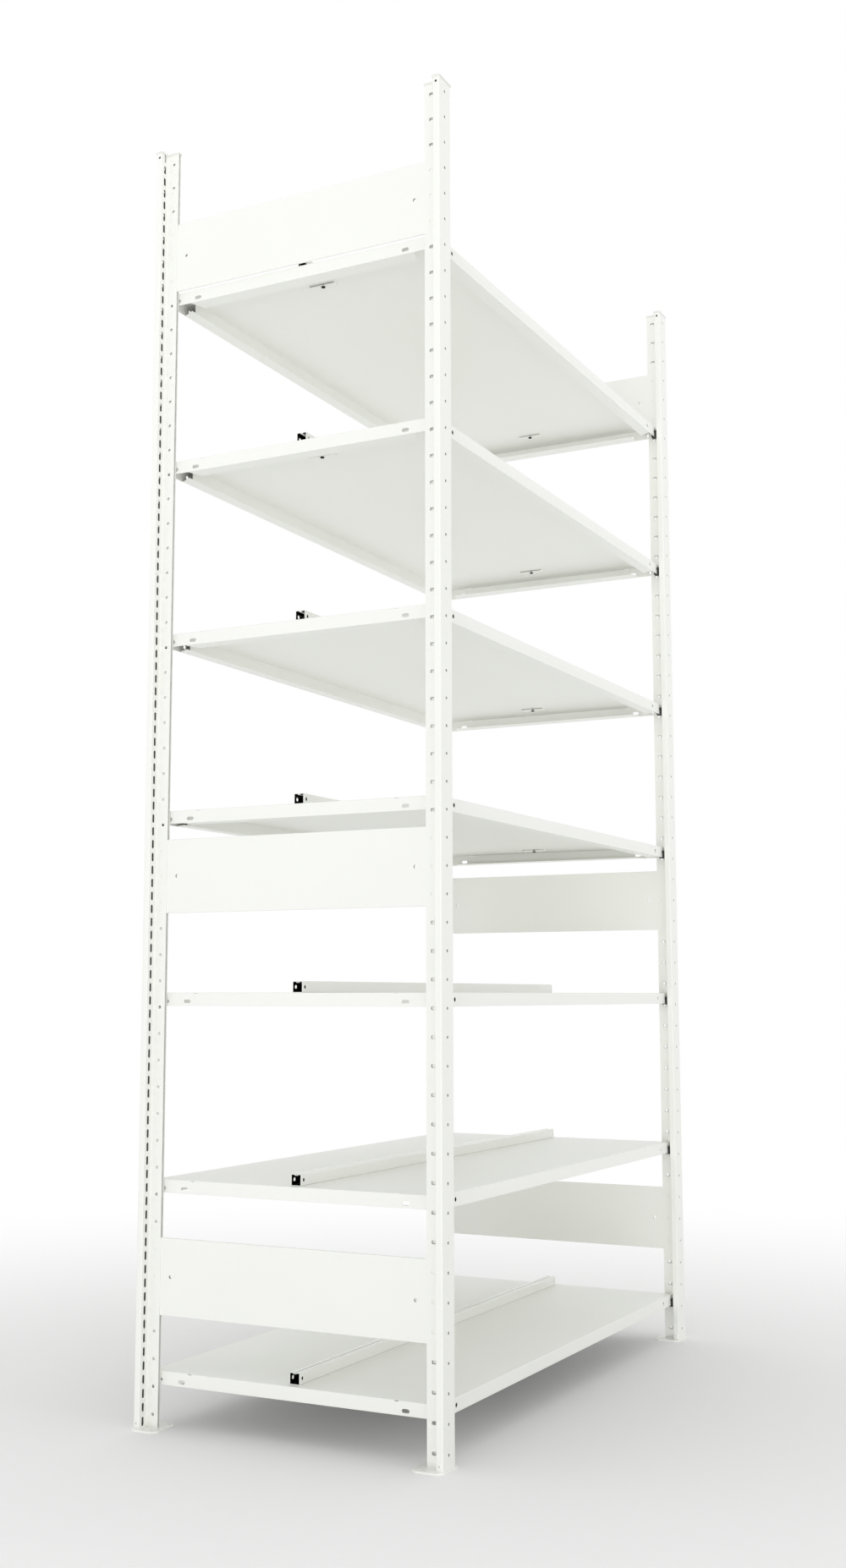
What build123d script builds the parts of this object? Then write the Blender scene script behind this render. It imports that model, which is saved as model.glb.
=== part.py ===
"""Office shelving unit: slotted posts, end panels and lift-off shelves.

Four posts of folded sheet stand on foot plates. End panels pushed into the slits of the
posts' stems join each front post to the rear one. Black clips hooked into the posts
carry the shelves, and a centre stop rail is screwed along the middle of each shelf.

Millimetres. X runs along the shelves, Y from the front to the rear and Z up. The origin
is on the floor, in the middle of the unit.
"""

import os

from build123d import *

os.makedirs("parts", exist_ok=True)

# Layout of the whole unit
post_spacing = 1237.5  # centre line to centre line, along X
frame_depth = 640.0  # over the outer faces of a front and a rear post
hole_pitch = 50.0
hole_count = 50
lowest_hole = 26.0  # above the floor
cut_overrun = 1.0  # how far a cut runs past the faces that it opens

# Posts: one sheet folded to a flat head with a double stem behind it
post_sheet = 1.5
post_bend = 1.25  # radius of the sheet's middle line
head_width = 47.5
head_depth = 13.5
stem_reach = 40.0  # from the outer face to the end of the stem
stem_slit = 5.0
post_above_hole = 20.5  # from the highest hole to the top of the post
face_hole = 5.75
stem_hole = 6.0
stem_hole_margin = 11.0  # from the end of the stem
stem_slot_length = 10.0
stem_slot_width = 6.5
stem_slot_corner = 2.0
stem_slot_margin = 14.5  # from the end of the stem
slot_length = 16.5
slot_width = 6.0
slot_offset = 13.9  # from the centre line
slots_per_hole = 2
top_hole = 5.0
top_hole_drop = 8.6

# Foot plates
foot_thickness = 3.0
foot_width = 72.0
foot_length = 60.0
foot_proud = 3.0  # outside the post's outer face
foot_corner = 10.0
anchor_hole = 9.0
anchor_offset = 27.0  # from the centre line
anchor_depth = 44.0  # from the post's outer face
lug_thickness = 3.0
lug_width = 9.0
lug_height = 15.0
lug_play = 0.1

# Rivets that hold the foot's lugs inside the post's head
rivet_rise = 8.7  # above the foot of the post
rivet_shank = 4.8
rivet_head = 9.0
rivet_head_height = 1.6
rivet_head_edge = 1.0
rivet_mandrel_hole = 3.0
rivet_mandrel_depth = 1.2
rivet_tail = 6.6
rivet_tail_height = 1.5
rivet_play = 0.1

# Top caps
cap_thickness = 3.5
cap_overhang = 1.5
cap_corner = 1.5
cap_edge = 0.8
cap_leg_width = 9.0
cap_leg_thickness = 1.5
cap_leg_length = 18.0
cap_leg_play = 0.1

# End panels: flat tubes of thin sheet
panel_height = 142.0
panel_sheet = 1.0
panel_bend = 1.6
panel_play = 0.1  # on either side, in the slit
panel_end_play = 1.5  # to the heads of the posts
panel_hole = 6.5
panel_hole_inset = 62.5  # from the outer face of the post
panel_pitches = {"low": 5, "mid": 20, "high": 45}  # centre above the lowest hole

# Shelves
shelf_count = 7
first_shelf_holes = 2  # holes under the top of the lowest shelf
shelf_rise = 2.5  # of a shelf's top above the middle between two holes
shelf_step_holes = 7
shelf_height = 25.0
shelf_sheet = 1.0
shelf_bend = 1.5  # at the top and the corners, outside
shelf_fold = 0.8  # along the foot of the edges
shelf_inset = 20.0  # from the post's outer face to the front of the shelf
shelf_end_play = 1.75  # to the side of the stem
flange_width = 27.0
flange_inset = 50.0  # from the end of the shelf, at the shelf's long edge
flange_cut = 14.0  # the diagonal at the end of the flange
flange_wall_inset = 48.0
lip_width = 35.0
lip_inset = 47.0  # from the long edge of the shelf
lip_cut = 12.0
edge_hole = 8.0
edge_hole_drop = 12.5
edge_hole_insets = (12.25, 64.75)  # from the end of the shelf
end_hole = 8.0
end_hole_inset = 20.0  # from the long edge of the shelf
end_slot_length = 15.0
end_slot_width = 7.0
end_slot_inset = 66.0
end_hole_drop = 16.5
end_slit_length = 8.0
end_slit_height = 2.0
end_slit_inset = 84.0

# Centre stop rails
rail_size = 21.0
rail_sheet = 1.0
rail_bend = 1.1
rail_seam = 2.75
rail_lip = 3.0
rail_inset = 17.0  # from the end of the shelf
rail_hole = 7.0
rail_hole_inset = 10.0  # from the end of the rail

# Screws and straps that hold the rail through the shelf
screw_inset = 96.0  # from the end of the shelf
screw_shank = 4.0
screw_play = 0.1
screw_head = 8.0
screw_head_height = 2.4
screw_head_edge = 0.8
screw_socket = 3.0
screw_socket_depth = 1.4
screw_tip = 1.5  # beyond the collar
screw_point = 0.6
collar_wall = 1.2
collar_height = 1.6
strap_length = 58.0
strap_width = 12.0
strap_drop = 4.0
strap_sheet = 1.2
strap_bend = 1.4
spare_hole = 4.0
spare_hole_along = 14.0
spare_hole_across = 15.5

# Shelf clips
clip_width = 12.0
clip_play = 0.25
clip_foot = 2.0
clip_riser = 6.0
clip_top_drop = 9.0
clip_neck_height = 9.0
clip_tip_drop = 4.0
clip_tip_thickness = 2.0
clip_edge = 0.8

# Sizes that follow from the ones above
stem_width = stem_slit + 2 * post_sheet
highest_hole = lowest_hole + (hole_count - 1) * hole_pitch
post_top = highest_hole + post_above_hole
hole_middle = (lowest_hole + highest_hole) / 2
slot_pitch = hole_pitch / slots_per_hole
slot_count = hole_count * slots_per_hole
shelf_length = post_spacing - stem_width - 2 * shelf_end_play
shelf_depth = frame_depth - 2 * shelf_inset
shelf_step = shelf_step_holes * hole_pitch
first_shelf = lowest_hole + first_shelf_holes * hole_pitch - hole_pitch / 2 + shelf_rise
shelf_tops = [first_shelf + level * shelf_step for level in range(shelf_count)]
rail_length = shelf_length - 2 * rail_inset
screw_reach = shelf_length / 2 - screw_inset
screw_hole = screw_shank + 2 * screw_play

# Ends and rows of the unit, as signs along X and Y
ends = {"left": -1, "right": 1}
rows = {"front": -1, "rear": 1}


def post_place(end, row, inset=0, height=0):
    """Plane on a post's outer face: its Y points into the unit and its Z up."""
    return Plane(
        origin=(end * (post_spacing / 2 - inset), row * frame_depth / 2, height),
        x_dir=(-row, 0, 0),
        z_dir=(0, 0, 1),
    )


# Post, on its own place: X across the head, Y inward from the outer face
stem_middle = stem_slit / 2 + post_sheet / 2
head_side_middle = head_width / 2 - post_sheet / 2
head_back_middle = head_depth - post_sheet / 2
post_half_line = [
    (stem_middle, stem_reach),
    (stem_middle, head_back_middle),
    (head_side_middle, head_back_middle),
    (head_side_middle, post_sheet / 2),
]
post_line = post_half_line + [(-x, y) for x, y in reversed(post_half_line)]

with BuildPart() as post:
    with BuildSketch(Plane.XY.offset(foot_thickness)):
        with BuildLine():
            FilletPolyline(*post_line, radius=post_bend)
        trace(line_width=post_sheet)
    extrude(amount=post_top - foot_thickness)

    # Slots for the clips, in the back of the head
    with BuildSketch(Plane.XZ.offset(-head_depth - cut_overrun)):
        with Locations((0, hole_middle)):
            with GridLocations(2 * slot_offset, slot_pitch, 2, slot_count):
                SlotOverall(slot_length, slot_width, rotation=90)
    extrude(amount=post_sheet + 2 * cut_overrun, mode=Mode.SUBTRACT)

    # Holes through the outer face
    with BuildSketch(Plane.XZ.offset(cut_overrun)):
        with Locations((0, hole_middle)):
            with GridLocations(hole_pitch, hole_pitch, 1, hole_count):
                Circle(face_hole / 2)
    extrude(amount=-post_sheet - 2 * cut_overrun, mode=Mode.SUBTRACT)

    # Round holes in one side of the stem, and slots in the other
    with BuildSketch(Plane.YZ):
        with Locations((stem_reach - stem_hole_margin, hole_middle)):
            with GridLocations(hole_pitch, hole_pitch, 1, hole_count):
                Circle(stem_hole / 2)
    extrude(amount=stem_width / 2 + cut_overrun, mode=Mode.SUBTRACT)
    with BuildSketch(Plane.YZ):
        with Locations((stem_reach - stem_slot_margin, hole_middle)):
            with GridLocations(hole_pitch, hole_pitch, 1, hole_count):
                RectangleRounded(stem_slot_length, stem_slot_width, stem_slot_corner)
    extrude(amount=-stem_width / 2 - cut_overrun, mode=Mode.SUBTRACT)

    # Holes in both sides of the head: one under the cap and one for the rivet
    with BuildSketch(Plane.YZ.offset(-head_width / 2 - cut_overrun)):
        with Locations((head_depth / 2, post_top - top_hole_drop)):
            Circle(top_hole / 2)
        with Locations((head_depth / 2, foot_thickness + rivet_rise)):
            Circle(rivet_shank / 2 + rivet_play)
    extrude(amount=head_width + 2 * cut_overrun, mode=Mode.SUBTRACT)

# Foot plate with two lugs that stand inside the post's head
lug_reach = head_width / 2 - post_sheet - lug_play
lug_middle = lug_reach - lug_thickness / 2

with BuildPart() as foot:
    with BuildSketch() as foot_outline:
        with Locations((0, foot_length / 2 - foot_proud)):
            Rectangle(foot_width, foot_length)
        chamfer(foot_outline.vertices(), foot_corner)
        with Locations((-anchor_offset, anchor_depth), (anchor_offset, anchor_depth)):
            Circle(anchor_hole / 2, mode=Mode.SUBTRACT)
    extrude(amount=foot_thickness)
    with BuildSketch(Plane.XY.offset(foot_thickness)):
        with Locations((-lug_middle, head_depth / 2), (lug_middle, head_depth / 2)):
            Rectangle(lug_thickness, lug_width)
    extrude(amount=lug_height)
    with BuildSketch(Plane.YZ.offset(-lug_reach - cut_overrun)):
        with Locations((head_depth / 2, foot_thickness + rivet_rise)):
            Circle(rivet_shank / 2 + rivet_play)
    extrude(amount=2 * (lug_reach + cut_overrun), mode=Mode.SUBTRACT)

# Blind rivet, its axis along Z and its head on the side of the post's head
rivet_grip = post_sheet + lug_play + lug_thickness

with BuildPart() as rivet:
    Cylinder(rivet_head / 2, rivet_head_height, align=(Align.CENTER, Align.CENTER, Align.MIN))
    fillet(rivet.edges().filter_by(GeomType.CIRCLE).sort_by(Axis.Z)[-1], rivet_head_edge)
    with BuildSketch():
        Circle(rivet_shank / 2)
    extrude(amount=-rivet_grip)
    with BuildSketch(Plane.XY.offset(-rivet_grip)):
        Circle(rivet_tail / 2)
    extrude(amount=-rivet_tail_height)
    with BuildSketch(Plane.XY.offset(rivet_head_height)):
        Circle(rivet_mandrel_hole / 2)
    extrude(amount=-rivet_mandrel_depth, mode=Mode.SUBTRACT)

# Top cap with two legs behind the slots of the head
with BuildPart() as cap:
    with BuildSketch(Plane.XY.offset(post_top)) as cap_outline:
        with Locations((0, head_depth / 2)):
            Rectangle(head_width + 2 * cap_overhang, head_depth + 2 * cap_overhang)
        with Locations((0, stem_reach / 2)):
            Rectangle(stem_width + 2 * cap_overhang, stem_reach + 2 * cap_overhang)
        fillet(cap_outline.vertices(), cap_corner)
    extrude(amount=cap_thickness)
    fillet(cap.edges().group_by(Axis.Z)[-1], cap_edge)
    with BuildSketch(Plane.XY.offset(post_top)):
        leg_middle = head_depth - post_sheet - cap_leg_play - cap_leg_thickness / 2
        with Locations((-slot_offset, leg_middle), (slot_offset, leg_middle)):
            Rectangle(cap_leg_width, cap_leg_thickness)
    extrude(amount=-cap_leg_length)

# End panel: a flat tube along Y, at the height of its middle
panel_length = frame_depth - 2 * (head_depth + panel_end_play)
panel_thickness = stem_slit - 2 * panel_play

with BuildPart() as panel:
    with BuildSketch(Plane.XZ.offset(-panel_length / 2)):
        RectangleRounded(panel_thickness, panel_height, panel_bend)
        RectangleRounded(
            panel_thickness - 2 * panel_sheet,
            panel_height - 2 * panel_sheet,
            panel_bend - panel_sheet,
            mode=Mode.SUBTRACT,
        )
    extrude(amount=panel_length)
    with BuildSketch(Plane.YZ.offset(-panel_thickness / 2 - cut_overrun)):
        with GridLocations(frame_depth - 2 * panel_hole_inset, panel_height, 2, 1):
            Circle(panel_hole / 2)
    extrude(amount=panel_thickness + 2 * cut_overrun, mode=Mode.SUBTRACT)

# Shelf, its top at height zero
flange_outer = shelf_length / 2 - flange_inset
flange_inner = flange_outer + flange_cut
flange_edge = shelf_depth / 2 - flange_width
lip_outer = shelf_depth / 2 - lip_inset
lip_inner = lip_outer - lip_cut
lip_edge = shelf_length / 2 - lip_width

with BuildPart() as shelf:
    with BuildSketch(Plane.XY.offset(-shelf_height)):
        Rectangle(shelf_length, shelf_depth)
    extrude(amount=shelf_height)
    fillet(shelf.edges().group_by(Axis.Z)[-1] + shelf.edges().filter_by(Axis.Z), shelf_bend)
    offset(amount=-shelf_sheet, openings=shelf.faces().sort_by(Axis.Z)[0])

    # Flanges turned in under the long edges, and lips under the ends
    with BuildSketch(Plane.XY.offset(-shelf_height)):
        for row in rows.values():
            Polygon(
                (-flange_outer, row * shelf_depth / 2),
                (flange_outer, row * shelf_depth / 2),
                (flange_inner, row * flange_edge),
                (-flange_inner, row * flange_edge),
                align=None,
            )
        for end in ends.values():
            Polygon(
                (end * shelf_length / 2, -lip_outer),
                (end * shelf_length / 2, lip_outer),
                (end * lip_edge, lip_inner),
                (end * lip_edge, -lip_inner),
                align=None,
            )
    extrude(amount=shelf_sheet)

    # Inner walls that close the long edges to boxes
    with BuildSketch(Plane.XY.offset(-shelf_height)):
        with GridLocations(shelf_length, 2 * flange_edge + shelf_sheet, 1, 2):
            Rectangle(shelf_length - 2 * flange_wall_inset, shelf_sheet)
    extrude(amount=shelf_height - shelf_sheet)

    # Rounded folds along the foot of the edges
    foot_edges = shelf.edges().filter_by(Axis.X).group_by(Axis.Z)[0].sort_by(Axis.Y)
    fillet([foot_edges[0], foot_edges[-1]], shelf_fold)

    # Holes in the long edges
    for row in rows.values():
        with BuildSketch(Plane.XZ.offset(-row * (shelf_depth / 2 + cut_overrun))):
            for inset in edge_hole_insets:
                with Locations((0, -edge_hole_drop)):
                    with GridLocations(shelf_length - 2 * inset, shelf_height, 2, 1):
                        Circle(edge_hole / 2)
        extrude(amount=row * (shelf_sheet + 2 * cut_overrun), mode=Mode.SUBTRACT)

    # Holes, slots and slits in the ends
    for end in ends.values():
        with BuildSketch(Plane.YZ.offset(end * (shelf_length / 2 + cut_overrun))):
            with Locations((0, -end_hole_drop)):
                with GridLocations(shelf_depth - 2 * end_hole_inset, shelf_height, 2, 1):
                    Circle(end_hole / 2)
                with GridLocations(shelf_depth - 2 * end_slot_inset, shelf_height, 2, 1):
                    SlotOverall(end_slot_length, end_slot_width)
            with GridLocations(shelf_depth - 2 * end_slit_inset, shelf_height, 2, 1):
                Rectangle(end_slit_length, 2 * end_slit_height)
        extrude(amount=-end * (shelf_sheet + 2 * cut_overrun), mode=Mode.SUBTRACT)

    # Screw holes and the spare holes beside them
    with BuildSketch(Plane.XY.offset(cut_overrun)):
        for end in ends.values():
            with Locations((end * screw_reach, 0)):
                Circle(screw_hole / 2)
            with Locations((end * screw_reach + spare_hole_along, -spare_hole_across)):
                Circle(spare_hole / 2)
    extrude(amount=-shelf_sheet - 2 * cut_overrun, mode=Mode.SUBTRACT)

# Centre stop rail: a folded tube with a seam along its top, standing at height zero
seam_middle = rail_seam / 2 + rail_sheet / 2
rail_side_middle = rail_size / 2 - rail_sheet / 2
rail_half_line = [
    (seam_middle, rail_size - rail_lip),
    (seam_middle, rail_size - rail_sheet / 2),
    (rail_side_middle, rail_size - rail_sheet / 2),
    (rail_side_middle, rail_sheet / 2),
]
rail_line = rail_half_line + [(-x, y) for x, y in reversed(rail_half_line)]
screw_places = [(-screw_reach, 0), (screw_reach, 0)]

with BuildPart() as rail:
    with BuildSketch(Plane.YZ.offset(-rail_length / 2)):
        with BuildLine():
            FilletPolyline(*rail_line, radius=rail_bend)
        trace(line_width=rail_sheet)
    extrude(amount=rail_length)

    # Collars that the screws bite into
    with BuildSketch(Plane.XY.offset(rail_sheet)):
        with Locations(*screw_places):
            Circle(screw_hole / 2 + collar_wall)
    extrude(amount=collar_height)
    with BuildSketch():
        with Locations(*screw_places):
            Circle(screw_hole / 2)
    extrude(amount=rail_sheet + collar_height, mode=Mode.SUBTRACT)

    # Holes across the rail, near its ends
    with BuildSketch(Plane.XZ.offset(-rail_size / 2 - cut_overrun)):
        with Locations((0, rail_size / 2)):
            with GridLocations(rail_length - 2 * rail_hole_inset, rail_size, 2, 1):
                Circle(rail_hole / 2)
    extrude(amount=rail_size + 2 * cut_overrun, mode=Mode.SUBTRACT)

# Strap under the shelf, hanging from height zero
strap_end_middle = strap_length / 2 - strap_sheet / 2
strap_web_middle = strap_sheet / 2 - strap_drop

with BuildPart() as strap:
    with BuildSketch(Plane.YZ.offset(-strap_width / 2)):
        with BuildLine():
            FilletPolyline(
                (-strap_end_middle, 0),
                (-strap_end_middle, strap_web_middle),
                (strap_end_middle, strap_web_middle),
                (strap_end_middle, 0),
                radius=strap_bend,
            )
        trace(line_width=strap_sheet)
    extrude(amount=strap_width)
    with BuildSketch(Plane.XY.offset(-strap_drop)):
        Circle(screw_hole / 2)
    extrude(amount=strap_sheet, mode=Mode.SUBTRACT)

# Screw, its head under height zero and its shank up through the strap, shelf and rail
with BuildPart() as screw:
    with BuildSketch():
        Circle(screw_head / 2)
    extrude(amount=-screw_head_height)
    fillet(screw.edges().group_by(Axis.Z)[0], screw_head_edge)
    with BuildSketch(Plane.XY.offset(-screw_head_height)):
        RegularPolygon(screw_socket / 2, side_count=6)
    extrude(amount=screw_socket_depth, mode=Mode.SUBTRACT)
    with BuildSketch():
        Circle(screw_shank / 2)
    extrude(amount=strap_drop + shelf_sheet + rail_sheet + collar_height + screw_tip)
    chamfer(screw.edges().group_by(Axis.Z)[-1], screw_point)

# Shelf clip, its X centred on a column of slots, its Y from the post's outer face and
# its height zero at the top of the shelf
plate_outer = head_depth + clip_play
plate_inner = shelf_inset - clip_play
riser_outer = shelf_inset + shelf_sheet + clip_play
riser_inner = riser_outer + clip_riser
riser_top = -shelf_sheet - clip_play
clip_bottom = -shelf_height - clip_foot
lowest_slot = hole_middle - slot_pitch * (slot_count - 1) / 2
slot_drop = (first_shelf - lowest_slot) % slot_pitch
slot_bottom = -slot_drop - slot_length / 2
neck_width = slot_width - 2 * clip_play
neck_middle = slot_bottom + clip_play + clip_neck_height / 2
tip_inner = head_depth - post_sheet - clip_play
tip_outer = tip_inner - clip_tip_thickness
tip_bottom = slot_bottom - clip_tip_drop

with BuildPart() as clip:
    with BuildSketch(Plane.YZ.offset(-clip_width / 2)):
        Polygon(
            (plate_outer, -clip_top_drop),
            (plate_inner, -clip_top_drop),
            (plate_inner, -shelf_height),
            (riser_outer, -shelf_height),
            (riser_outer, riser_top),
            (riser_inner, riser_top),
            (riser_inner, clip_bottom),
            (plate_outer, clip_bottom),
            align=None,
        )
    extrude(amount=clip_width)
    fillet(clip.edges().filter_by(Axis.X).group_by(Axis.Z)[0], clip_edge)

    # Hook through the slot, with a tip that drops behind the sheet
    with BuildSketch(Plane.XZ.offset(-plate_outer)):
        with Locations((0, neck_middle)):
            SlotOverall(clip_neck_height, neck_width, rotation=90)
    extrude(amount=plate_outer - tip_outer)
    with BuildSketch(Plane.XZ.offset(-tip_inner)):
        with Locations((0, (neck_middle + tip_bottom) / 2)):
            Rectangle(neck_width, neck_middle - tip_bottom)
    extrude(amount=clip_tip_thickness)

# Posts, feet and caps
for end_name, end in ends.items():
    for row_name, row in rows.items():
        corner = f"{row_name}_{end_name}"

        with BuildPart(post_place(end, row)) as upright:
            add(post.part, clean=False)
        upright.part.label = f"upright_{corner}"
        export_step(upright.part, f"parts/upright_{corner}.step")

        with BuildPart(post_place(end, row)) as foot_plate:
            add(foot.part)
        foot_plate.part.label = f"foot_plate_{corner}"
        export_step(foot_plate.part, f"parts/foot_plate_{corner}.step")

        with BuildPart(post_place(end, row)) as top_cap:
            add(cap.part)
        top_cap.part.label = f"top_cap_{corner}"
        export_step(top_cap.part, f"parts/top_cap_{corner}.step")

# Rivets, two in each post
rivet_places = [
    Plane(
        origin=(
            end * post_spacing / 2 + side * head_width / 2,
            row * (frame_depth / 2 - head_depth / 2),
            foot_thickness + rivet_rise,
        ),
        x_dir=(0, 0, 1),
        z_dir=(side, 0, 0),
    )
    for end in ends.values()
    for row in rows.values()
    for side in ends.values()
]

with BuildPart(*rivet_places) as foot_rivets:
    add(rivet.part)
foot_rivets.part.label = "foot_rivets"
export_step(foot_rivets.part, "parts/foot_rivets.step")

# End panels
for end_name, end in ends.items():
    for level_name, pitches in panel_pitches.items():
        panel_middle = (end * post_spacing / 2, 0, lowest_hole + pitches * hole_pitch)
        with BuildPart(Plane(origin=panel_middle)) as end_panel:
            add(panel.part)
        end_panel.part.label = f"end_panel_{end_name}_{level_name}"
        export_step(end_panel.part, f"parts/end_panel_{end_name}_{level_name}.step")

# Shelves with their rails, straps, screws and clips
for number, shelf_top in enumerate(shelf_tops, start=1):
    with BuildPart(Plane.XY.offset(shelf_top)) as shelf_level:
        add(shelf.part, clean=False)
    shelf_level.part.label = f"shelf_{number}"
    export_step(shelf_level.part, f"parts/shelf_{number}.step")

    with BuildPart(Plane.XY.offset(shelf_top)) as centre_stop:
        add(rail.part, clean=False)
    centre_stop.part.label = f"centre_stop_{number}"
    export_step(centre_stop.part, f"parts/centre_stop_{number}.step")

    strap_top = shelf_top - shelf_sheet
    with BuildPart(*[Plane(origin=(x, y, strap_top)) for x, y in screw_places]) as straps:
        add(strap.part)
    straps.part.label = f"stop_straps_{number}"
    export_step(straps.part, f"parts/stop_straps_{number}.step")

    head_seat = strap_top - strap_drop
    with BuildPart(*[Plane(origin=(x, y, head_seat)) for x, y in screw_places]) as screws:
        add(screw.part)
    screws.part.label = f"stop_screws_{number}"
    export_step(screws.part, f"parts/stop_screws_{number}.step")

    clip_places = [
        post_place(end, row, inset=slot_offset, height=shelf_top)
        for end in ends.values()
        for row in rows.values()
    ]
    with BuildPart(*clip_places) as shelf_clips:
        add(clip.part)
    shelf_clips.part.label = f"shelf_clips_{number}"
    export_step(shelf_clips.part, f"parts/shelf_clips_{number}.step")
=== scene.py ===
import itertools
import math

import bmesh
import bpy
from mathutils import Matrix, Vector


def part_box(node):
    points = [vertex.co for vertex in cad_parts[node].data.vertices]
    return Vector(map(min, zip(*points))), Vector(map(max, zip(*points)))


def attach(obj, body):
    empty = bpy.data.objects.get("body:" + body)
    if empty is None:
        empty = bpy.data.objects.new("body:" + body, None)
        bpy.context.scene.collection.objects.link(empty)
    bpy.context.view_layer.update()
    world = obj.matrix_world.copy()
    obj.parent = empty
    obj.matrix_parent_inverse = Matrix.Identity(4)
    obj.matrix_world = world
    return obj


bl_info = {
    "name": "Office shelving unit",
    "version": (1, 0, 0),
    "blender": (4, 5, 0),
    "location": "View3D > Sidebar > Shelving",
    "description": "Finishes a powder-coated office shelving unit on a pale studio floor",
    "category": "Object",
}

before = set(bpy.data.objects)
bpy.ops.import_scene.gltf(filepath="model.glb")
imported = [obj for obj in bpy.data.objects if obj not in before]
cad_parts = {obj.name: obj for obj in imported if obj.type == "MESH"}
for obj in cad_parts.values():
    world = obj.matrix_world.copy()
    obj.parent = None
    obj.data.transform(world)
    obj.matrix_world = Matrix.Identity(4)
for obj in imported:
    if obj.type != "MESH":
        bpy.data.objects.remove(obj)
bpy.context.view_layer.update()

LEVELS = range(1, 8)
CORNERS = ("front_left", "front_right", "rear_left", "rear_right")
MM = 0.001

# Sizes of the folded sections that a box can't give, as the solids have them
HEAD_DEPTH = 13.5 * MM
POST_SHEET = 1.5 * MM
RAIL_SHEET = 1.0 * MM
SEAM_LIP_REACH = 2.45 * MM
SEAM_LIP_DROP = 3.1 * MM
# A mask's bound lies this far off the faces it tells apart
CLEARANCE = 0.05 * MM

# A noise rarely leaves these bounds
NOISE_LOW = 0.3
NOISE_HIGH = 0.7

COAT_IOR = 1.5
POLYPROPYLENE_IOR = 1.49
POLYAMIDE_IOR = 1.53

SENSOR_WIDTH = 36.0
WHITE = "#FFFFFF"

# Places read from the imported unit, in metres
near_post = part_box("upright_front_left")
post_x = -(near_post[0].x + near_post[1].x) / 2
post_y = -near_post[0].y
post_half = (near_post[1].x - near_post[0].x) / 2
first_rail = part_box("centre_stop_1")
second_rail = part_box("centre_stop_2")
rail_step = second_rail[0].z - first_rail[0].z
rail_half = first_rail[1].y
rail_height = first_rail[1].z - first_rail[0].z


def linear(hex_colour):
    """Turns an sRGB hex colour into the linear colour that a shader takes."""
    shares = [int(hex_colour[i:i + 2], 16) / 255 for i in (1, 3, 5)]
    return [c / 12.92 if c <= 0.04045 else ((c + 0.055) / 1.055) ** 2.4 for c in shares] + [1.0]


def add_node(tree, kind, inputs=(), **settings):
    """Adds a node with its settings, and gives each input a value or a link."""
    made = tree.nodes.new(kind)
    for name, value in settings.items():
        setattr(made, name, value)
    for name, value in dict(inputs).items():
        if isinstance(value, bpy.types.NodeSocket):
            tree.links.new(value, made.inputs[name])
        else:
            made.inputs[name].default_value = value
    return made.outputs


def new_material(name):
    """Makes an empty node material and gives its tree and the shader's output node."""
    material = bpy.data.materials.new(name)
    material.use_nodes = True
    tree = material.node_tree
    tree.nodes.clear()
    return material, tree, tree.nodes.new("ShaderNodeOutputMaterial")


def give(material, *names):
    """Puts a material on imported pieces, in place of their plain one."""
    for name in names:
        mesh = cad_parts[name].data
        mesh.materials.clear()
        mesh.materials.append(material)


def add_piece(name, shape):
    """Makes an object of a bmesh, frees the bmesh, and puts the object in the scene."""
    mesh = bpy.data.meshes.new(name)
    shape.to_mesh(mesh)
    shape.free()
    piece = bpy.data.objects.new(name, mesh)
    bpy.context.scene.collection.objects.link(piece)
    return piece


def powder_coat(name, settings, glossy=False, shade_mask=None, shade_hex=WHITE):
    """Powder-coated steel: satin white, with a fine orange peel and a faint cloudiness.

    A mask function, made from the three coordinates, marks the hollows of a folded section,
    where its darker colour is laid over the coat as painted shade. A glossy coat has
    flowed out smoother.
    """
    roughness = settings.gloss_roughness if glossy else settings.roughness
    peel_strength = settings.gloss_peel_strength if glossy else settings.peel_strength
    material, tree, output = new_material(name)
    place = add_node(tree, "ShaderNodeTexCoord")["Object"]
    # A noise of scale 1 has a light and a dark area in each metre
    cloud = add_node(tree, "ShaderNodeTexNoise", {
        "Vector": place, "Scale": 1 / (settings.cloud_size * 2),
        "Detail": 3.0, "Roughness": 0.5,
    })["Fac"]
    tone = add_node(tree, "ShaderNodeMapRange", {
        "Value": cloud, "From Min": NOISE_LOW, "From Max": NOISE_HIGH,
        "To Min": 1 - settings.cloud_depth, "To Max": 1.0,
    })["Result"]
    colour = add_node(tree, "ShaderNodeMix", {
        "Factor": 1.0, "A": linear(settings.coat_hex), "B": tone,
    }, data_type="RGBA", blend_type="MULTIPLY")["Result"]
    rough = add_node(tree, "ShaderNodeMapRange", {
        "Value": cloud, "From Min": NOISE_LOW, "From Max": NOISE_HIGH,
        "To Min": roughness - settings.roughness_spread,
        "To Max": roughness + settings.roughness_spread,
    })["Result"]
    # Painted shade: where the mask is 1, the darker colour replaces the coat
    if shade_mask:
        axes = add_node(tree, "ShaderNodeSeparateXYZ", {"Vector": place})
        colour = add_node(tree, "ShaderNodeMix", {
            "Factor": shade_mask(tree, axes), "A": colour, "B": linear(shade_hex),
        }, data_type="RGBA")["Result"]
    # Waves of 3 mm, the longer ones of a real coat. Its finest would not show
    peel = add_node(tree, "ShaderNodeTexNoise", {
        "Vector": place, "Scale": 1 / settings.peel_size, "Detail": 1.0, "Roughness": 0.4,
    })["Fac"]
    bump = add_node(tree, "ShaderNodeBump", {
        "Height": peel, "Strength": peel_strength, "Distance": settings.peel_depth,
    })["Normal"]
    shader = add_node(tree, "ShaderNodeBsdfPrincipled", {
        "Base Color": colour, "Roughness": rough, "IOR": COAT_IOR, "Normal": bump,
    })["BSDF"]
    tree.links.new(shader, output.inputs["Surface"])
    return material


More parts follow.
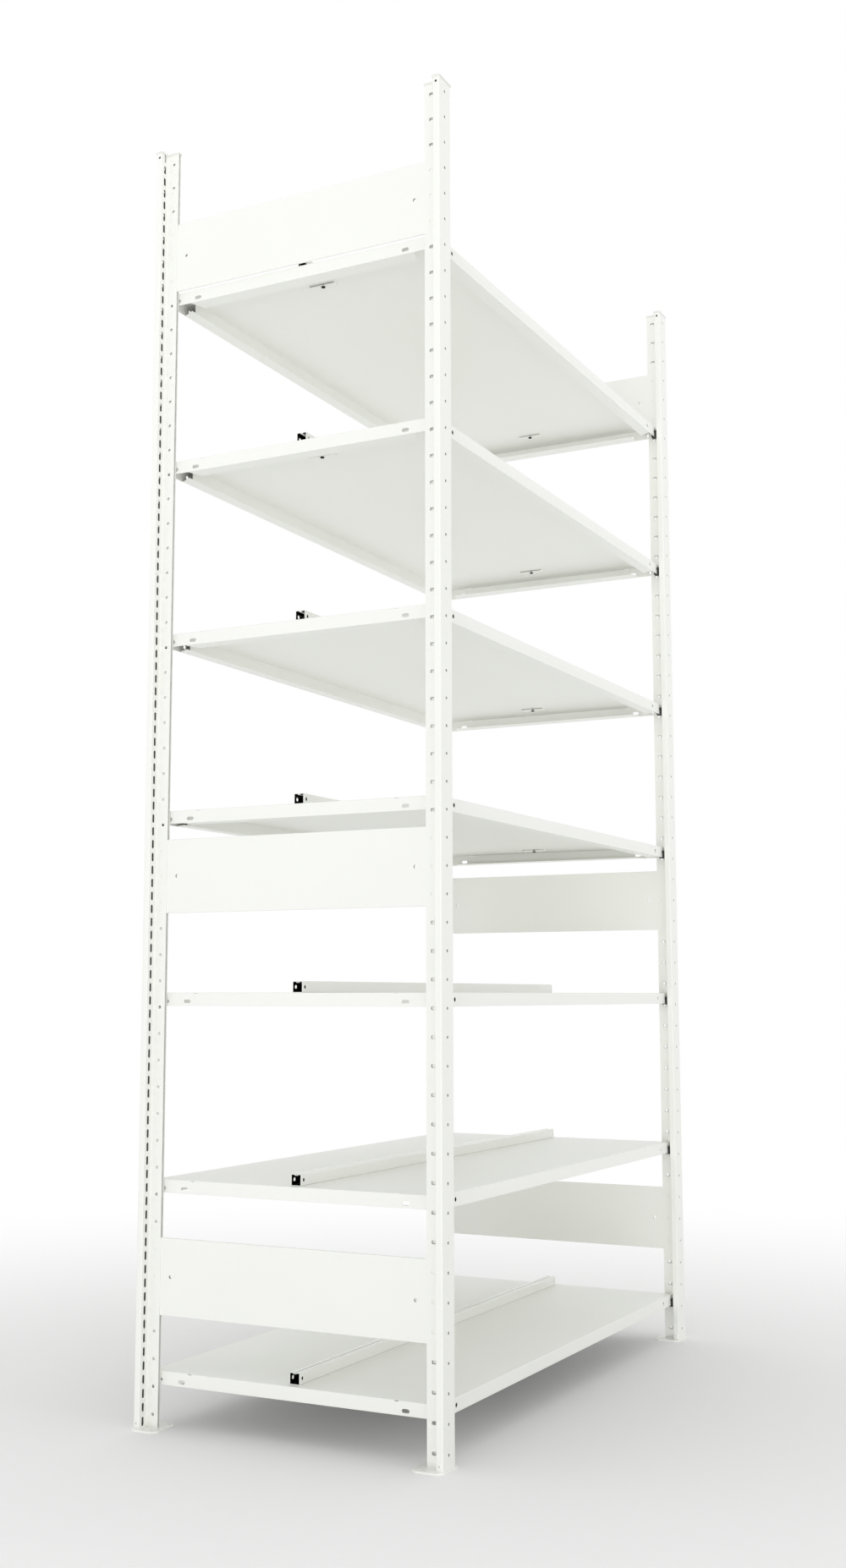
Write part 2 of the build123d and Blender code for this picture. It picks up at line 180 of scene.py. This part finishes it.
def inside(tree, *spans):
    """A mask that is 1 where each value lies between its two bounds."""
    mask = 1.0
    for value, low, high in spans:
        between = add_node(tree, "ShaderNodeMath", {
            0: value, 1: (low + high) / 2, 2: (high - low) / 2,
        }, operation="COMPARE")["Value"]
        mask = add_node(tree, "ShaderNodeMath", {
            0: between, 1: mask,
        }, operation="MULTIPLY")["Value"]
    return mask


def post_painted_shade(tree, axes):
    """Mask of the faces inside a post's head and in its slots, where shade is painted, the same
    for all posts.
    """
    across, inward = (
        add_node(tree, "ShaderNodeMath", {0: axes[axis]}, operation="ABSOLUTE")["Value"]
        for axis in "XY")
    side = post_half - POST_SHEET + CLEARANCE
    return inside(
        tree,
        (across, post_x - side, post_x + side),
        (inward, post_y - HEAD_DEPTH + CLEARANCE, post_y - POST_SHEET + CLEARANCE))


def rail_painted_shade(tree, axes):
    """Mask of the faces inside a rail, apart from the two lips of its seam, where shade is
    painted.
    """
    across = add_node(tree, "ShaderNodeMath", {0: axes["Y"]}, operation="ABSOLUTE")["Value"]
    # Height within one step of the shelves, with the rail in the middle of the step
    foot = 0.5 * rail_step
    above = add_node(tree, "ShaderNodeMath", {
        0: axes["Z"], 1: first_rail[0].z - foot,
    }, operation="SUBTRACT")["Value"]
    turn = add_node(tree, "ShaderNodeMath", {
        0: above, 1: rail_step,
    }, operation="FLOORED_MODULO")["Value"]
    top = foot + rail_height
    tube_half = rail_half - RAIL_SHEET + CLEARANCE
    tube = inside(
        tree,
        (across, -tube_half, tube_half),
        (turn, foot + RAIL_SHEET - CLEARANCE, top - RAIL_SHEET + CLEARANCE))
    lips = inside(
        tree,
        (across, -SEAM_LIP_REACH, SEAM_LIP_REACH),
        (turn, top - SEAM_LIP_DROP, top))
    return add_node(tree, "ShaderNodeMath", {
        0: tube, 1: lips,
    }, operation="SUBTRACT", use_clamp=True)["Value"]


def moulded(name, hex_colour, roughness, grain, ior, settings):
    """Moulded plastic: an even colour with the spark-eroded grain of the mould.

    The real grain is about 0.1 mm and would not show, so it is drawn several times
    coarser.
    """
    material, tree, output = new_material(name)
    place = add_node(tree, "ShaderNodeTexCoord")["Object"]
    texture = add_node(tree, "ShaderNodeTexNoise", {
        "Vector": place, "Scale": 1 / grain, "Detail": 2.0, "Roughness": 0.6,
    })["Fac"]
    tone = add_node(tree, "ShaderNodeMapRange", {
        "Value": texture, "To Min": 1 - settings.grain_shade, "To Max": 1.0,
    })["Result"]
    colour = add_node(tree, "ShaderNodeMix", {
        "Factor": 1.0, "A": linear(hex_colour), "B": tone,
    }, data_type="RGBA", blend_type="MULTIPLY")["Result"]
    bump = add_node(tree, "ShaderNodeBump", {
        "Height": texture, "Strength": settings.grain_strength,
        "Distance": settings.grain_depth,
    })["Normal"]
    shader = add_node(tree, "ShaderNodeBsdfPrincipled", {
        "Base Color": colour, "Roughness": roughness, "IOR": ior, "Normal": bump,
    })["BSDF"]
    tree.links.new(shader, output.inputs["Surface"])
    return material


def patchy_steel(name, hex_colour, patch_hex, roughness, settings):
    """Small steel fastener: its skin is patchy over a millimetre or two."""
    material, tree, output = new_material(name)
    place = add_node(tree, "ShaderNodeTexCoord")["Object"]
    patch = add_node(tree, "ShaderNodeTexNoise", {
        "Vector": place, "Scale": 1 / settings.patch_size, "Detail": 2.0,
    })["Fac"]
    rough = add_node(tree, "ShaderNodeMapRange", {
        "Value": patch, "To Min": roughness - settings.patch_roughness,
        "To Max": roughness + settings.patch_roughness,
    })["Result"]
    colour = add_node(tree, "ShaderNodeMix", {
        "Factor": patch, "A": linear(hex_colour), "B": linear(patch_hex),
    }, data_type="RGBA")["Result"]
    shader = add_node(tree, "ShaderNodeBsdfPrincipled", {
        "Base Color": colour, "Metallic": 1.0, "Roughness": rough,
    })["BSDF"]
    tree.links.new(shader, output.inputs["Surface"])
    return material


def seen_directly(tree):
    """A mask that is 1 where the camera, a reflection or glass looks at the surface."""
    path = add_node(tree, "ShaderNodeLightPath")
    mask = path["Is Camera Ray"]
    for kind in ("Is Glossy Ray", "Is Transmission Ray"):
        mask = add_node(tree, "ShaderNodeMath", {
            0: mask, 1: path[kind],
        }, operation="MAXIMUM")["Value"]
    return mask


class ShelvingCoatSettings(bpy.types.PropertyGroup):
    """The white finish of the sheet parts."""

    coat_hex: bpy.props.StringProperty(
        name="Coat colour", description="sRGB colour of the powder coat", default="#FCFDF8")
    # The colour inside the posts is painted shade, laid into the hollow of the head and its
    # slots
    post_shade_hex: bpy.props.StringProperty(
        name="Inside of the posts", description="sRGB colour of the sheet inside a post",
        default="#9C9C98")
    # The colour inside the rails is painted shade, nearly black, laid into the closed tube
    rail_shade_hex: bpy.props.StringProperty(
        name="Inside of the rails", description="sRGB colour of the sheet inside a rail",
        default="#0A0A0A")
    roughness: bpy.props.FloatProperty(
        name="Roughness", description="Roughness of the satin coat",
        default=0.37, min=0.0, max=1.0)
    gloss_roughness: bpy.props.FloatProperty(
        name="Gloss roughness", description="Roughness of the glossier coat on the rails",
        default=0.14, min=0.0, max=1.0)
    roughness_spread: bpy.props.FloatProperty(
        name="Roughness spread", description="How much the roughness varies up and down",
        default=0.03, min=0.0, max=1.0)
    peel_size: bpy.props.FloatProperty(
        name="Orange peel", description="Width of one wave of the orange peel",
        default=3 * MM, unit="LENGTH", precision=4)
    peel_depth: bpy.props.FloatProperty(
        name="Orange peel depth", description="Height of one wave of the orange peel",
        default=0.06 * MM, unit="LENGTH", precision=5)
    peel_strength: bpy.props.FloatProperty(
        name="Orange peel strength", description="How much the orange peel shows",
        default=0.35, min=0.0, max=1.0)
    gloss_peel_strength: bpy.props.FloatProperty(
        name="Gloss peel strength", description="How much the orange peel shows on the rails",
        default=0.04, min=0.0, max=1.0)
    cloud_size: bpy.props.FloatProperty(
        name="Cloud size", description="Width of a faintly darker area of the coat",
        default=90 * MM, unit="LENGTH")
    cloud_depth: bpy.props.FloatProperty(
        name="Cloud depth", description="How much darker such an area is",
        default=0.012, min=0.0, max=1.0)


class ShelvingFittingSettings(bpy.types.PropertyGroup):
    """The finishes of the clips, caps, screws and rivet pins."""

    clip_hex: bpy.props.StringProperty(
        name="Clip colour", description="sRGB colour of the shelf clips", default="#141414")
    clip_roughness: bpy.props.FloatProperty(
        name="Clip roughness", description="Roughness of the moulded clips",
        default=0.5, min=0.0, max=1.0)
    clip_grain: bpy.props.FloatProperty(
        name="Clip grain", description="Width of one grain on the clips, as it is drawn",
        default=1.2 * MM, unit="LENGTH", precision=4)
    cap_hex: bpy.props.StringProperty(
        name="Cap colour", description="sRGB colour of the top caps", default="#F2F3EE")
    cap_roughness: bpy.props.FloatProperty(
        name="Cap roughness", description="Roughness of the moulded caps",
        default=0.48, min=0.0, max=1.0)
    cap_grain: bpy.props.FloatProperty(
        name="Cap grain", description="Width of one grain on the caps, as it is drawn",
        default=0.8 * MM, unit="LENGTH", precision=4)
    grain_shade: bpy.props.FloatProperty(
        name="Grain shade", description="How much darker the hollows of the grain are",
        default=0.07, min=0.0, max=1.0)
    grain_strength: bpy.props.FloatProperty(
        name="Grain strength", description="How much the relief of the grain shows",
        default=0.3, min=0.0, max=1.0)
    grain_depth: bpy.props.FloatProperty(
        name="Grain depth", description="Height of one grain",
        default=0.1 * MM, unit="LENGTH", precision=5)
    pin_hex: bpy.props.StringProperty(
        name="Rivet pin colour", description="sRGB colour of the broken rivet pins",
        default="#D4D5D3")
    pin_patch_hex: bpy.props.StringProperty(
        name="Rivet pin patches", description="sRGB colour of the darker patches on the pins",
        default="#BDBEBD")
    pin_roughness: bpy.props.FloatProperty(
        name="Rivet pin roughness", description="Roughness of the broken rivet pins",
        default=0.5, min=0.0, max=1.0)
    pin_width: bpy.props.FloatProperty(
        name="Rivet pin width", description="Diameter of a rivet pin",
        default=2.7 * MM, unit="LENGTH", precision=4)
    pin_length: bpy.props.FloatProperty(
        name="Rivet pin length", description="How much of a pin stands in the head's hole",
        default=0.9 * MM, unit="LENGTH", precision=4)
    pin_drop: bpy.props.FloatProperty(
        name="Rivet pin drop", description="How far a pin ends under the top of the head",
        default=0.25 * MM, unit="LENGTH", precision=4)
    screw_hex: bpy.props.StringProperty(
        name="Screw colour", description="sRGB colour of the blackened screws",
        default="#161616")
    screw_patch_hex: bpy.props.StringProperty(
        name="Screw patches", description="sRGB colour of the lighter patches on the screws",
        default="#2B2B2C")
    screw_roughness: bpy.props.FloatProperty(
        name="Screw roughness", description="Roughness of the blackened screws",
        default=0.45, min=0.0, max=1.0)
    patch_size: bpy.props.FloatProperty(
        name="Patch size", description="Width of one patch on a pin or screw",
        default=1.5 * MM, unit="LENGTH", precision=4)
    patch_roughness: bpy.props.FloatProperty(
        name="Patch roughness", description="How much the roughness varies up and down",
        default=0.1, min=0.0, max=1.0)


class ShelvingStageSettings(bpy.types.PropertyGroup):
    """The floor, the light and the camera."""

    floor_hex: bpy.props.StringProperty(
        name="Floor colour", description="sRGB colour of the floor around the unit",
        default="#FBFBFB")
    floor_size: bpy.props.FloatProperty(
        name="Floor size", description="Length of the square floor",
        default=80.0, unit="LENGTH")
    fade_start: bpy.props.FloatProperty(
        name="Fade start", description="Distance where the floor starts to turn white",
        default=0.0, unit="LENGTH")
    fade_end: bpy.props.FloatProperty(
        name="Fade end", description="Distance where the floor is white",
        default=3.2, unit="LENGTH")
    bounce_strength: bpy.props.FloatProperty(
        name="Floor bounce", description="Strength of the light that the far floor throws back",
        default=1.15, min=0.0)
    bounce_start: bpy.props.FloatProperty(
        name="Bounce start", description="Distance where the floor starts to throw light back",
        default=3.0, unit="LENGTH")
    bounce_end: bpy.props.FloatProperty(
        name="Bounce end", description="Distance where the floor throws back all its light",
        default=9.0, unit="LENGTH")
    shade_reach: bpy.props.FloatProperty(
        name="Shade reach", description="How far from the unit the floor is shaded by it",
        default=2.5, unit="LENGTH")
    shade_depth: bpy.props.FloatProperty(
        name="Shade depth", description="How much darker the floor is where the unit covers it",
        default=0.20, min=0.0, max=1.0)
    horizon_strength: bpy.props.FloatProperty(
        name="Horizon", description="Strength of the soft light from the sides",
        default=0.50, min=0.0)
    zenith_strength: bpy.props.FloatProperty(
        name="Zenith", description="Strength of the soft light from above",
        default=0.92, min=0.0)
    left_strength: bpy.props.FloatProperty(
        name="Left lamp", description="Strength of the soft lamp from the left",
        default=0.66, min=0.0)
    left_yaw: bpy.props.FloatProperty(
        name="Left lamp direction", description="Place of the left lamp, from front to left",
        default=math.radians(82), subtype="ANGLE")
    left_height: bpy.props.FloatProperty(
        name="Left lamp height",
        description="Height of the left lamp, below the horizon if negative",
        default=math.radians(-6), subtype="ANGLE")
    front_strength: bpy.props.FloatProperty(
        name="Front lamp", description="Strength of the soft lamp from the front",
        default=0.30, min=0.0)
    front_yaw: bpy.props.FloatProperty(
        name="Front lamp direction", description="Place of the front lamp, from front to left",
        default=math.radians(4), subtype="ANGLE")
    front_height: bpy.props.FloatProperty(
        name="Front lamp height",
        description="Height of the front lamp, below the horizon if negative",
        default=math.radians(12), subtype="ANGLE")
    lamp_spread: bpy.props.FloatProperty(
        name="Lamp spread", description="How wide each lamp is, seen from the unit",
        default=math.radians(24), subtype="ANGLE")
    lamp_distance: bpy.props.FloatProperty(
        name="Lamp distance", description="Where the lamps' objects stand, which lights nothing",
        default=5.0, unit="LENGTH")
    camera_place: bpy.props.FloatVectorProperty(
        name="Camera place", description="Where the camera stands",
        default=(-3.2876, -1.6303, 0.7996), subtype="TRANSLATION", unit="LENGTH")
    camera_yaw: bpy.props.FloatProperty(
        name="Camera direction",
        description="Turn of the camera from the rear towards the right",
        default=math.radians(62.274), subtype="ANGLE")
    camera_pitch: bpy.props.FloatProperty(
        name="Camera pitch", description="Tilt of the camera above the horizon",
        default=math.radians(7.026), subtype="ANGLE")
    camera_lens: bpy.props.FloatProperty(
        name="Focal length", description="Focal length on a 36 mm sensor",
        default=38.722, unit="CAMERA")
    camera_shift: bpy.props.FloatVectorProperty(
        name="Camera shift", description="Shift that frames the photograph",
        default=(0.01417, 0.0018), size=2)
    camera_reach: bpy.props.FloatProperty(
        name="Camera reach", description="Distance up to which the camera sees",
        default=200.0, unit="LENGTH")


class SHELVING_OT_posts(bpy.types.Operator):
    """Finish the four slotted posts in white powder coat, with painted shade inside the head"""

    bl_idname = "shelving.posts"
    bl_label = "Posts"

    def execute(self, context):
        coat = context.scene.shelving_coat
        # White powder coat on folded sheet steel, with grey painted shade inside the head and
        # its slots
        give(powder_coat("Powder-coated steel, open section", coat,
                         shade_mask=post_painted_shade, shade_hex=coat.post_shade_hex),
             *(f"upright_{corner}" for corner in CORNERS))
        return {"FINISHED"}


class SHELVING_OT_feet(bpy.types.Operator):
    """Finish the foot plates and the rivets that hold them"""

    bl_idname = "shelving.feet"
    bl_label = "Foot plates and rivets"

    def execute(self, context):
        coat = context.scene.shelving_coat
        # White powder coat on pressed plate, and lacquered aluminium rivets, as white
        give(powder_coat("Powder-coated plate", coat),
             *(f"foot_plate_{corner}" for corner in CORNERS))
        give(powder_coat("Lacquered aluminium", coat), "foot_rivets")
        return {"FINISHED"}


class SHELVING_OT_mandrels(bpy.types.Operator):
    """Leave the broken pin of each blind rivet in its head"""

    bl_idname = "shelving.mandrels"
    bl_label = "Rivet pins"

    def execute(self, context):
        fitting = context.scene.shelving_fitting
        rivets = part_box("foot_rivets")
        height = (rivets[0].z + rivets[1].z) / 2
        inward = post_y - HEAD_DEPTH / 2
        # From a post's middle line to the middle of a pin
        sunk = rivets[1].x - post_x - fitting.pin_drop - fitting.pin_length / 2
        shape = bmesh.new()
        for post_side, depth_side, face in itertools.product((-1, 1), repeat=3):
            # A pin that fills most of the head's hole, rounded where it was drawn thin
            pin = bmesh.ops.create_cone(
                shape, cap_ends=True, segments=20, radius1=fitting.pin_width / 2,
                radius2=fitting.pin_width / 2, depth=fitting.pin_length,
            )["verts"]
            rims = {edge for vert in pin for edge in vert.link_edges
                    if all(end.co.z > 0 for end in edge.verts)}
            rounded = bmesh.ops.bevel(
                shape, geom=list(rims), offset=fitting.pin_width / 5, affect="EDGES",
                segments=3, profile=0.5, material=-1)
            pin = {vert for vert in pin if vert.is_valid} | set(rounded["verts"])
            place = Vector((post_side * post_x + face * sunk, depth_side * inward, height))
            turned = Matrix.Rotation(face * math.pi / 2, 4, "Y")
            bmesh.ops.transform(
                shape, verts=list(pin), matrix=Matrix.Translation(place) @ turned)
        pins = add_piece("rivet_pins", shape)
        # Zinc-plated steel that broke off rough: grey, with a dull glint
        pins.data.materials.append(patchy_steel(
            "Zinc-plated steel", fitting.pin_hex, fitting.pin_patch_hex,
            fitting.pin_roughness, fitting))
        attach(pins, "frame")
        return {"FINISHED"}


class SHELVING_OT_caps(bpy.types.Operator):
    """Finish the moulded caps on the posts"""

    bl_idname = "shelving.caps"
    bl_label = "Top caps"

    def execute(self, context):
        fitting = context.scene.shelving_fitting
        # White polypropylene, injection moulded: a soft even sheen
        give(moulded("Moulded polypropylene", fitting.cap_hex, fitting.cap_roughness,
                     fitting.cap_grain, POLYPROPYLENE_IOR, fitting),
             *(f"top_cap_{corner}" for corner in CORNERS))
        return {"FINISHED"}


class SHELVING_OT_panels(bpy.types.Operator):
    """Finish the six end panels"""

    bl_idname = "shelving.panels"
    bl_label = "End panels"

    def execute(self, context):
        coat = context.scene.shelving_coat
        names = [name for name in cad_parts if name.startswith("end_panel_")]
        # White powder coat on thin flat tube
        give(powder_coat("Powder-coated flat tube", coat), *names)
        return {"FINISHED"}


class SHELVING_OT_shelves(bpy.types.Operator):
    """Finish the folded shelves and the straps under them"""

    bl_idname = "shelving.shelves"
    bl_label = "Shelves"

    def execute(self, context):
        coat = context.scene.shelving_coat
        # White powder coat on thin folded sheet
        sheet = powder_coat("Powder-coated sheet steel", coat)
        for number in LEVELS:
            give(sheet, f"shelf_{number}", f"stop_straps_{number}")
        return {"FINISHED"}


class SHELVING_OT_rails(bpy.types.Operator):
    """Finish the centre stop rails, with painted shade inside"""

    bl_idname = "shelving.rails"
    bl_label = "Centre stop rails"

    def execute(self, context):
        coat = context.scene.shelving_coat
        # Glossier white coat on a small folded tube, with near-black painted shade inside it
        give(powder_coat("Gloss-coated folded tube", coat, glossy=True,
                         shade_mask=rail_painted_shade, shade_hex=coat.rail_shade_hex),
             *(f"centre_stop_{number}" for number in LEVELS))
        return {"FINISHED"}


class SHELVING_OT_screws(bpy.types.Operator):
    """Finish the blackened screws under the shelves"""

    bl_idname = "shelving.screws"
    bl_label = "Screws"

    def execute(self, context):
        fitting = context.scene.shelving_fitting
        # Blackened steel: a dark oxide skin with a dull glint
        give(patchy_steel("Blackened steel", fitting.screw_hex, fitting.screw_patch_hex,
                          fitting.screw_roughness, fitting),
             *(f"stop_screws_{number}" for number in LEVELS))
        return {"FINISHED"}


class SHELVING_OT_clips(bpy.types.Operator):
    """Finish the black clips that carry the shelves"""

    bl_idname = "shelving.clips"
    bl_label = "Shelf clips"

    def execute(self, context):
        fitting = context.scene.shelving_fitting
        # Black polyamide, injection moulded: nearly black, with a dull sheen
        give(moulded("Moulded polyamide", fitting.clip_hex, fitting.clip_roughness,
                     fitting.clip_grain, POLYAMIDE_IOR, fitting),
             *(f"shelf_clips_{number}" for number in LEVELS))
        return {"FINISHED"}


class SHELVING_OT_stage(bpy.types.Operator):
    """Lay the floor and set the light and the camera"""

    bl_idname = "shelving.stage"
    bl_label = "Stage"

    def execute(self, context):
        scene = context.scene
        stage = scene.shelving_stage

        # Floor: matt paint near the unit, which turns to plain white further out
        material, tree, output = new_material("Matt studio floor")
        place = add_node(tree, "ShaderNodeTexCoord")["Object"]
        away = add_node(tree, "ShaderNodeVectorMath", {0: place}, operation="LENGTH")["Value"]
        fade = add_node(tree, "ShaderNodeMapRange", {
            "Value": away, "From Min": stage.fade_start, "From Max": stage.fade_end,
        }, interpolation_type="SMOOTHSTEP")["Result"]
        open_share = add_node(tree, "ShaderNodeAmbientOcclusion", {
            "Distance": stage.shade_reach,
        }, samples=12, only_local=False)["AO"]
        shade = add_node(tree, "ShaderNodeMapRange", {
            "Value": open_share, "To Min": 1 - stage.shade_depth, "To Max": 1.0,
        })["Result"]
        tone = add_node(tree, "ShaderNodeMix", {
            "Factor": 1.0, "A": linear(stage.floor_hex), "B": shade,
        }, data_type="RGBA", blend_type="MULTIPLY")["Result"]
        paint = add_node(tree, "ShaderNodeBsdfDiffuse", {"Color": tone})["BSDF"]
        # The far floor lights the unit from low down, and is seen as white
        direct = seen_directly(tree)
        far = add_node(tree, "ShaderNodeMapRange", {
            "Value": away, "From Min": stage.bounce_start, "From Max": stage.bounce_end,
        }, interpolation_type="SMOOTHSTEP")["Result"]
        share = add_node(tree, "ShaderNodeMix", {
            "Factor": direct, "A": far, "B": fade,
        })["Result"]
        glow = add_node(tree, "ShaderNodeMapRange", {
            "Value": direct, "To Min": stage.bounce_strength, "To Max": 1.0,
        })["Result"]
        white = add_node(tree, "ShaderNodeEmission", {"Strength": glow})["Emission"]
        mixed = add_node(tree, "ShaderNodeMixShader", {0: share, 1: paint, 2: white})["Shader"]
        # From below the floor is clear, so that the unit can be seen from there too
        below = add_node(tree, "ShaderNodeNewGeometry")["Backfacing"]
        clear = add_node(tree, "ShaderNodeBsdfTransparent")["BSDF"]
        sided = add_node(tree, "ShaderNodeMixShader", {0: below, 1: mixed, 2: clear})["Shader"]
        tree.links.new(sided, output.inputs["Surface"])
        material.cycles.emission_sampling = "NONE"

        shape = bmesh.new()
        bmesh.ops.create_grid(shape, x_segments=2, y_segments=2, size=stage.floor_size / 2)
        floor = add_piece("floor", shape)
        floor.data.materials.append(material)

        # Sky: a soft light from all sides, and white where the camera sees it
        world = bpy.data.worlds.new("Even studio sky")
        scene.world = world
        world.use_nodes = True
        tree = world.node_tree
        tree.nodes.clear()
        output = tree.nodes.new("ShaderNodeOutputWorld")
        way = add_node(tree, "ShaderNodeTexCoord")["Generated"]
        height = add_node(tree, "ShaderNodeSeparateXYZ", {"Vector": way})["Z"]
        strength = add_node(tree, "ShaderNodeMapRange", {
            "Value": height, "From Min": 0.0, "From Max": 1.0,
            "To Min": stage.horizon_strength, "To Max": stage.zenith_strength,
        })["Result"]
        light = add_node(tree, "ShaderNodeBackground", {
            "Color": linear(WHITE), "Strength": strength,
        })["Background"]
        white = add_node(tree, "ShaderNodeBackground", {
            "Color": linear(WHITE), "Strength": 1.0,
        })["Background"]
        mixed = add_node(tree, "ShaderNodeMixShader", {
            0: seen_directly(tree), 1: light, 2: white,
        })["Shader"]
        tree.links.new(mixed, output.inputs["Surface"])

        # Lamps: broad, soft and low. They stand for the bright floor far away too, so the
        # floor lets them through
        let_through = bpy.data.collections.new("lets_the_lamps_through")
        let_through.objects.link(floor)
        let_through.collection_objects[0].light_linking.link_state = "EXCLUDE"
        for name, strength, yaw, height in (
            ("left_lamp", stage.left_strength, stage.left_yaw, stage.left_height),
            ("front_lamp", stage.front_strength, stage.front_yaw, stage.front_height),
        ):
            lamp = bpy.data.lights.new(name, "SUN")
            lamp.energy = strength
            lamp.angle = stage.lamp_spread
            sun = bpy.data.objects.new(name, lamp)
            towards = Vector((-math.sin(yaw), -math.cos(yaw), math.tan(height))).normalized()
            sun.rotation_euler = towards.to_track_quat("Z", "Y").to_euler()
            sun.location = stage.lamp_distance * towards
            scene.collection.objects.link(sun)
            sun.light_linking.blocker_collection = let_through

        camera = bpy.data.cameras.new("camera")
        camera.lens = stage.camera_lens
        camera.sensor_width = SENSOR_WIDTH
        camera.shift_x, camera.shift_y = stage.camera_shift
        camera.clip_end = stage.camera_reach
        viewer = bpy.data.objects.new("camera", camera)
        viewer.location = stage.camera_place
        viewer.rotation_euler = (math.pi / 2 + stage.camera_pitch, 0.0, -stage.camera_yaw)
        scene.collection.objects.link(viewer)
        scene.camera = viewer
        scene.view_settings.view_transform = "Standard"
        return {"FINISHED"}


OPERATORS = (
    SHELVING_OT_posts, SHELVING_OT_feet, SHELVING_OT_mandrels, SHELVING_OT_caps,
    SHELVING_OT_panels, SHELVING_OT_shelves, SHELVING_OT_rails, SHELVING_OT_screws,
    SHELVING_OT_clips, SHELVING_OT_stage,
)


class SHELVING_PT_panel(bpy.types.Panel):
    """Lists the settings and the steps that finish the shelving unit"""

    bl_idname = "SHELVING_PT_panel"
    bl_label = "Office shelving unit"
    bl_space_type = "VIEW_3D"
    bl_region_type = "UI"
    bl_category = "Shelving"

    def draw(self, context):
        layout = self.layout
        for group in ("shelving_coat", "shelving_fitting", "shelving_stage"):
            settings = getattr(context.scene, group)
            box = layout.box()
            for name in settings.__annotations__:
                box.prop(settings, name)
        for operator in OPERATORS:
            layout.operator(operator.bl_idname)


CLASSES = (
    ShelvingCoatSettings, ShelvingFittingSettings, ShelvingStageSettings, *OPERATORS,
    SHELVING_PT_panel,
)


def register():
    for made in CLASSES:
        bpy.utils.register_class(made)
    bpy.types.Scene.shelving_coat = bpy.props.PointerProperty(type=ShelvingCoatSettings)
    bpy.types.Scene.shelving_fitting = bpy.props.PointerProperty(type=ShelvingFittingSettings)
    bpy.types.Scene.shelving_stage = bpy.props.PointerProperty(type=ShelvingStageSettings)


def unregister():
    del bpy.types.Scene.shelving_stage
    del bpy.types.Scene.shelving_fitting
    del bpy.types.Scene.shelving_coat
    for made in reversed(CLASSES):
        bpy.utils.unregister_class(made)


def main():
    register()
    bpy.ops.shelving.posts()
    bpy.ops.shelving.feet()
    bpy.ops.shelving.mandrels()
    bpy.ops.shelving.caps()
    bpy.ops.shelving.panels()
    bpy.ops.shelving.shelves()
    bpy.ops.shelving.rails()
    bpy.ops.shelving.screws()
    bpy.ops.shelving.clips()
    bpy.ops.shelving.stage()


if __name__ == "__main__":
    main()
